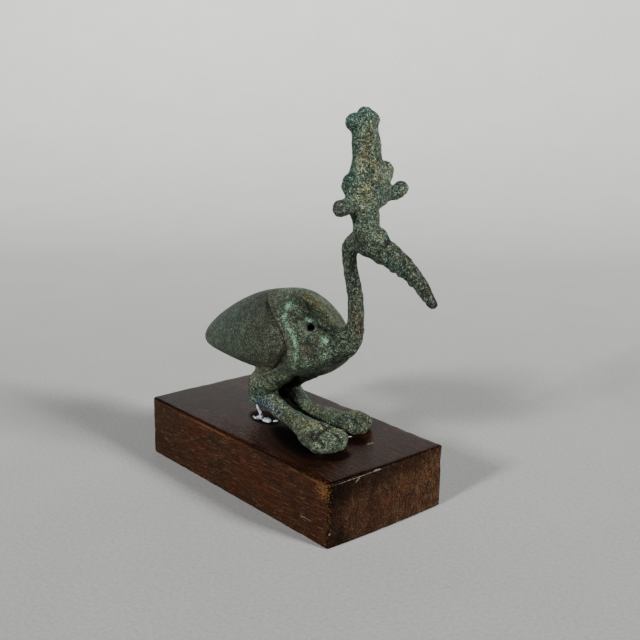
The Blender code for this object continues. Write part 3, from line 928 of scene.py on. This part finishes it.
def wood_finish(settings):
    """Dark reddish wood with long grain along X, dots of end grain, worn edges and satin varnish.

    Its brightness is 2 to the power of a sum of clouds drawn out along the grain. Light dashes rise
    a little towards the front. The attribute called wear gives the worn places, and dents, scuffs
    and a painted shadow round the feet lie on egg-shaped spots. Along the top edges lie a dark line
    of painted shade and, under it, a thin painted highlight.
    """
    finish = Finish("varnished mahogany")
    where = finish.place()
    long_ways = finish.place((0.11, 1.0, 1.0), (0, -0.03, 0.012))
    dash_ways = finish.place((0.26, 2.1, 2.1), (0, -0.10, 0.03))
    ring_ways = finish.place((1.0, 0.60, 0.34), (0.03, 0, 0))
    rim = finish.attribute("rim")
    wear = finish.attribute("wear")
    end = finish.attribute("end")
    top = finish.attribute("top")

    bands = finish.noise(long_ways, 0.42, 3.0, 0.6, 0.4)
    fibre = finish.noise(long_ways, 2.0, 4.0, 0.75)
    rings = finish.noise(ring_ways, 0.45, 4.0, 0.7, 0.3)
    cloud = finish.noise(where, 0.07, 3.0, 0.6)
    grit = finish.noise(where, 1.7, 3.0, 0.8)
    dashes = finish.noise(dash_ways, 0.95, 2.0, 0.6)

    long_grain = (fibre - 0.5) * (5.0 + top * 3.0) + (bands - 0.5) * 2.2 + (grit - 0.5) * 5.0
    end_grain = (rings - 0.5) * 4.0 + (grit - 0.5) * 8.0
    across = finish.axis(where, "Y")
    height = finish.axis(where, "Z")
    shade = finish.between(across + (cloud - 0.5) * 14.0, -13.0, -21.5) * 1.2
    shade = shade + finish.between(height + (cloud - 0.5) * 6.0 - across * 0.12, 13.5, 17.5) * 0.9
    stops = long_grain + (end_grain - shade - long_grain) * end + (cloud - 0.5) * 1.3 - top * 0.8
    reddish = finish.between(cloud + (bands - 0.5) * 0.8 + top * 0.2 - end * 0.14, 0.36, 0.66)
    wood = finish.mix(reddish, settings.brown_wood, settings.red_wood)
    wood = finish.brighten(wood, 2.0 ** stops)
    light = finish.between(dashes + (grit - 0.5) * 0.3, 0.60, 0.68) * (1 - end) * (0.65 - top * 0.35)
    upright = finish.noise(finish.place((1.0, 1.8, 0.5)), 1.1, 3.0, 0.7)
    flecks = finish.between(upright + across * 0.004 - shade * 0.06, 0.57, 0.68) * end * 0.75
    wood = finish.mix(light + flecks, wood, settings.fleck)
    # A thin painted highlight under the rounded top edge
    line = finish.between(height, 18.5, 18.8) * finish.between(height, 19.15, 18.95) * (1 - end)
    wood = finish.mix(line * finish.between(bands + fibre, 0.86, 1.1) * 0.7, wood, settings.worn_and_highlight)
    rubbed = finish.between(wear + (grit - 0.5) * 3.0 + (fibre - 0.5) * 1.0, 0.45, 0.95)
    wood = finish.mix(rubbed * 0.9, wood, settings.worn_and_highlight)
    # Painted shade: a dark line along the rounded top edges
    edges = finish.between(rim + (fibre - 0.5) * 0.8, 0.35, 0.85) * (1 - rubbed) * 0.8
    wood = finish.mix(edges, wood, settings.edge_shade_and_dents)
    dents = finish.spots(DENTS)
    wood = finish.mix(dents * 0.8, wood, settings.edge_shade_and_dents)
    marks = finish.between(grit, 0.42, 0.56)
    scuffs = finish.clamp(finish.spots(SCUFFS) * (marks * 0.6 + 0.15))
    wood = finish.mix(scuffs, wood, settings.scuff)
    # Painted shadow and painted reflection of the bird on the top, round and between the feet
    cast_shade = finish.clamp((grit - 0.5) * 0.3 + finish.spots(CAST_SHADE_SPOTS)) * top
    wood = finish.mix(cast_shade * 0.95, wood, settings.cast_shade_colour)

    relief = finish.bump(fibre * 0.7 + grit * 0.4 + dashes * 0.3 - dents * 3.0, 0.00010)
    return finish.set(
        base_color=wood,
        roughness=0.40 + rubbed * 0.25 + (grit - 0.5) * 0.2 - top * 0.18 + cast_shade * 0.6,
        specular_ior_level=0.027,
        normal=relief,
    )


class IBIS_OT_block(bpy.types.Operator):
    """Shape and varnish the wooden block"""

    bl_idname = "ibis.block"
    bl_label = "Wooden block"

    def execute(self, context):
        settings = context.scene.ibis_block
        middle = (BLOCK_LOW + BLOCK_HIGH) / 2
        half = (BLOCK_HIGH - BLOCK_LOW) / 2
        points, faces = block_shape(half, settings.edge_round, settings.end_swell, settings.grid_step)
        block = add_piece("wood_block", points + middle, faces, wood_finish(settings))
        tidy_shell(block)
        points = read(block.data.vertices, "co") - middle
        nearness = edge_nearness(points, half, 0.6 * MILLIMETRE)
        # Nearness to the top edges, where the material paints a dark line of shade
        write_value(block.data, "rim", nearness * (points[:, 2] > 0))
        write_value(block.data, "wear", wear_block(points / MILLIMETRE, nearness))
        margin = 0.6 * settings.edge_round
        write_value(block.data, "end", (np.abs(points[:, 0]) > half[0] - margin - settings.end_swell) * 1.0)
        write_value(block.data, "top", (points[:, 2] > half[2] - margin) * 1.0)
        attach(block, "root")
        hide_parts("wooden_base")
        return {"FINISHED"}


# The glue

# Each strand's stations: x, y, z and radius, in hundredths of the bird's height
GLUE_STRANDS = [
    [(-9.3, -8.5, 0.1, 0.18), (-8.3, -9.0, 0.2, 0.34), (-7.0, -9.3, 0.2, 0.30), (-5.6, -8.9, 0.1, 0.18)],
    [(-7.4, -8.3, 0.1, 0.4), (-6.2, -8.1, 0.4, 0.8), (-5.1, -7.8, 0.2, 0.4)],
    [(-5.6, -8.3, 0.3, 0.85), (-5.3, -8.5, 1.6, 0.62), (-5.4, -8.8, 2.8, 0.52), (-5.8, -9.2, 4.0, 0.44),
     (-6.2, -9.5, 5.2, 0.22)],
    [(-4.7, -8.4, 0.1, 0.22), (-3.5, -8.3, 0.3, 0.55), (-2.3, -7.8, 0.5, 0.85), (-1.6, -6.9, 0.4, 0.5)],
    [(-1.4, -6.6, 0.2, 0.30), (-0.9, -5.9, 0.3, 0.30), (-0.6, -5.2, 0.1, 0.18)],
    [(-8.4, -8.3, 0.05, 0.25), (-5.5, -7.3, 0.1, 0.45), (-2.3, -6.6, 0.05, 0.40)],
    [(22.9, 2.0, 0.1, 0.14), (23.4, 3.2, 0.15, 0.20), (23.8, 4.6, 0.1, 0.14)],
]


class GlueSettings(bpy.types.PropertyGroup):
    """Sizes and colour of the clear glue."""

    fineness: length_setting(
        "Mesh fineness", "Width of one face of the glue's skin", 0.00012, 0.00008, 0.001, 5,
    )
    colour: colour_setting("Colour", "Tint of the clear glue", (0.80, 0.84, 0.90))
    thin: colour_setting("Thin glue", "Tint where the glue is thin over the dark wood", (0.16, 0.17, 0.20))


def glue_finish(settings):
    """Clear set glue, slightly uneven, that shines white where it catches the light."""
    finish = Finish("clear glue")
    wave = finish.noise(finish.place(), 1.3, 2.0)
    return finish.set(
        base_color=finish.mix(finish.between(wave, 0.47, 0.64), settings.colour, settings.thin),
        roughness=0.06,
        transmission_weight=0.35,
        ior=1.46,
        specular_ior_level=0.7,
        normal=finish.bump(wave, 0.0003),
    )


class IBIS_OT_glue(bpy.types.Operator):
    """Lay the clear glue behind the near leg and by the far foot"""

    bl_idname = "ibis.glue"
    bl_label = "Clear glue"

    def execute(self, context):
        settings = context.scene.ibis_glue
        points, faces = stack([bead(stations) for stations in GLUE_STRANDS])
        glue = add_piece("glue_dab", points * SHARE + BIRD_ORIGIN, faces)
        close_ends(glue)
        melt(glue, settings.fineness)
        mesh = glue.data
        points = relax(mesh, read(mesh.vertices, "co"), 3)
        ripple = lattice_noise(to_bird(points), 0.9, 41)[:, None]
        points = points + read(mesh.vertex_normals, "vector") * ripple * 0.12 * SHARE
        points[:, 2] = np.maximum(points[:, 2], BLOCK_HIGH[2])
        write_points(mesh, points)
        mesh.materials.append(glue_finish(settings))
        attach(glue, "root")
        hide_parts("mounting_glue")
        return {"FINISHED"}


def close_ends(piece):
    """Close the tiny open rings at the ends of the strands."""
    shell = bmesh.new()
    shell.from_mesh(piece.data)
    bmesh.ops.holes_fill(shell, edges=[edge for edge in shell.edges if edge.is_boundary], sides=0)
    bmesh.ops.recalc_face_normals(shell, faces=shell.faces)
    shell.to_mesh(piece.data)
    shell.free()


# The stage

class StageSettings(bpy.types.PropertyGroup):
    """The camera, the paper sweep and the lights."""

    paper: colour_setting("Paper", "Colour of the floor and backdrop", (0.36, 0.36, 0.349))
    lens: bpy.props.FloatProperty(
        name="Lens", description="Focal length on a 36 mm wide sensor", default=54.51, unit="CAMERA",
    )
    left_power: power_setting("Left light", "Power of the light on the left", 18.0)
    right_power: power_setting("Right light", "Power of the light on the right", 24.5)
    back_power: power_setting("Back light", "Power of the light over the backdrop", 2.1)
    paper_power: power_setting("Paper lights", "Power of each light over the far paper", 9.0)
    room_light: bpy.props.FloatProperty(
        name="Room light", description="Strength of the even light from all round", default=0.008,
    )


# The camera's place and turn: yaw about Z, pitch down and roll, in radians
CAMERA_PLACE = Vector((0.22736, -0.18551, 0.13011))
CAMERA_YAW = 0.854871
CAMERA_PITCH = 0.256565
CAMERA_ROLL = 0.018687
VIEW_RIGHT = Vector((math.cos(CAMERA_YAW), math.sin(CAMERA_YAW), 0))
VIEW_AHEAD = Vector((-math.sin(CAMERA_YAW), math.cos(CAMERA_YAW), 0))


def camera_turn():
    """The camera's axes as a matrix."""
    back = Vector((
        math.sin(CAMERA_YAW) * math.cos(CAMERA_PITCH),
        -math.cos(CAMERA_YAW) * math.cos(CAMERA_PITCH),
        math.sin(CAMERA_PITCH),
    ))
    up = VIEW_RIGHT.cross(-back)
    right = math.cos(CAMERA_ROLL) * VIEW_RIGHT + math.sin(CAMERA_ROLL) * up
    upright = -math.sin(CAMERA_ROLL) * VIEW_RIGHT + math.cos(CAMERA_ROLL) * up
    return Matrix((right, upright, back)).transposed()


def sweep_shape():
    """Points and quads of a paper sweep.

    Its profile runs flat towards the back, turns up by a quarter circle and goes on straight up. The
    profile is carried along a straight line across the view. At the front and the sides the paper
    rises by the S-curve 3t^2 - 2t^3, so that it shuts off the view from every side.
    """
    bend_start, radius, height, flat, slope = 0.36, 0.50, 0.6, 1.9, 0.8
    floor_rows, bend_rows, columns = 28, 40, 55

    def rim(away):
        share = np.clip((away - flat) / slope, 0, 1)
        return height * share**2 * (3 - 2 * share)

    angle = np.linspace(0, math.pi / 2, bend_rows)
    floor = np.linspace(-flat - slope, 0, floor_rows)
    ahead = np.concatenate([floor, bend_start + radius * np.sin(angle), [bend_start + radius]])
    rise = np.concatenate([np.zeros(floor_rows), radius * (1 - np.cos(angle)), [height]]) + rim(-ahead)
    across = np.linspace(-flat - slope, flat + slope, columns)
    points = (
        ahead[:, None, None] * np.array(VIEW_AHEAD)
        + across[None, :, None] * np.array(VIEW_RIGHT)
        + (rise[:, None] + rim(np.abs(across))[None, :])[:, :, None] * np.array((0, 0, 1.0))
    )
    return points.reshape(-1, 3), grid_faces(len(ahead), len(across))


def paper_finish(settings):
    """Pale paper with a faint tooth."""
    finish = Finish("pale paper")
    where = finish.place()
    tooth = finish.noise(where, 0.85, 2.0, 0.7)
    cloud = finish.noise(where, 0.03, 3.0)
    fibres = finish.between(finish.chances(where, 0.35), 0.93, 0.99)
    specks = finish.between(finish.noise(where, 1.1, 1.0), 0.66, 0.74) * fibres
    tone = 0.97 + (tooth - 0.5) * 0.44 + (cloud - 0.5) * 0.10 - specks * 0.3
    return finish.set(
        base_color=finish.brighten(settings.paper, tone),
        roughness=0.9,
        specular_ior_level=0.2,
        normal=finish.bump(tooth, 0.0001),
    )


def add_light(name, place, target, size, power, spread):
    """A soft square light turned towards a target, its spread in degrees."""
    lamp = bpy.data.lights.new(name, "AREA")
    lamp.shape = "SQUARE"
    lamp.size = size
    lamp.energy = power
    lamp.spread = math.radians(spread)
    light = bpy.data.objects.new(name, lamp)
    light.location = place
    light.rotation_euler = (Vector(target) - Vector(place)).to_track_quat("-Z", "Y").to_euler()
    bpy.context.scene.collection.objects.link(light)


class IBIS_OT_stage(bpy.types.Operator):
    """Set up the camera, the paper sweep and the lights"""

    bl_idname = "ibis.stage"
    bl_label = "Stage"

    def execute(self, context):
        settings = context.scene.ibis_stage
        points, faces = sweep_shape()
        paper = add_piece("paper_sweep", points, faces, paper_finish(settings))
        tidy_shell(paper)

        lens = bpy.data.cameras.new("camera")
        lens.lens = settings.lens
        lens.sensor_width = 36
        lens.clip_start = 0.01
        camera = bpy.data.objects.new("camera", lens)
        camera.matrix_world = Matrix.Translation(CAMERA_PLACE) @ camera_turn().to_4x4()
        context.scene.collection.objects.link(camera)
        context.scene.camera = camera

        middle = Vector((0, 0, 0.03))
        left_way = Vector((0.126, -0.90, 0.418))
        right_way = Vector((0.830, 0.250, 0.497))
        behind = 0.95 * VIEW_AHEAD + Vector((0, 0, 0.15))
        add_light("left light", middle + 3 * left_way, behind, 0.42, settings.left_power, 56)
        add_light("right light", middle + 3 * right_way, behind, 0.62, settings.right_power, 56)
        over_back = 0.45 * VIEW_AHEAD + Vector((0, 0, 1.2))
        backdrop = 0.86 * VIEW_AHEAD - 0.20 * VIEW_RIGHT + Vector((0, 0, 0.35))
        add_light("back light", over_back, backdrop, 0.5, settings.back_power, 70)
        sides = (("front", -VIEW_AHEAD, 1.25), ("left", -VIEW_RIGHT, 1.6), ("right", VIEW_RIGHT, 1.6))
        for side, way, away in sides:
            over_paper = away * way + Vector((0, 0, 1.3))
            aim = (away + 0.5) * way
            add_light(f"{side} paper light", over_paper, aim, 0.8, settings.paper_power, 120)

        world = bpy.data.worlds.new("room")
        world.use_nodes = True
        sky = world.node_tree.nodes["Background"]
        sky.inputs["Color"].default_value = (1, 1, 1, 1)
        sky.inputs["Strength"].default_value = settings.room_light
        context.scene.world = world
        return {"FINISHED"}


# The add-on

# Each group of settings by its name on the scene, with the operator that reads it
PARTS = {
    "ibis_bronze": (BronzeSettings, IBIS_OT_bronze),
    "ibis_block": (BlockSettings, IBIS_OT_block),
    "ibis_glue": (GlueSettings, IBIS_OT_glue),
    "ibis_stage": (StageSettings, IBIS_OT_stage),
}


class IBIS_PT_panel(bpy.types.Panel):
    """The statuette's pieces and their settings"""

    bl_idname = "IBIS_PT_panel"
    bl_label = "Ibis statuette"
    bl_space_type = "VIEW_3D"
    bl_region_type = "UI"
    bl_category = "Ibis"

    def draw(self, context):
        for name, (group, operator) in PARTS.items():
            box = self.layout.box()
            box.operator(operator.bl_idname)
            for key in group.__annotations__:
                box.prop(getattr(context.scene, name), key)


CLASSES = (*(each for pair in PARTS.values() for each in pair), IBIS_PT_panel)


def register():
    for each in CLASSES:
        bpy.utils.register_class(each)
    for name, (group, _) in PARTS.items():
        setattr(bpy.types.Scene, name, bpy.props.PointerProperty(type=group))


def unregister():
    for name in PARTS:
        delattr(bpy.types.Scene, name)
    for each in reversed(CLASSES):
        bpy.utils.unregister_class(each)


def main():
    register()
    bpy.ops.ibis.stage()
    bpy.ops.ibis.bronze()
    bpy.ops.ibis.block()
    bpy.ops.ibis.glue()


if __name__ == "__main__":
    main()
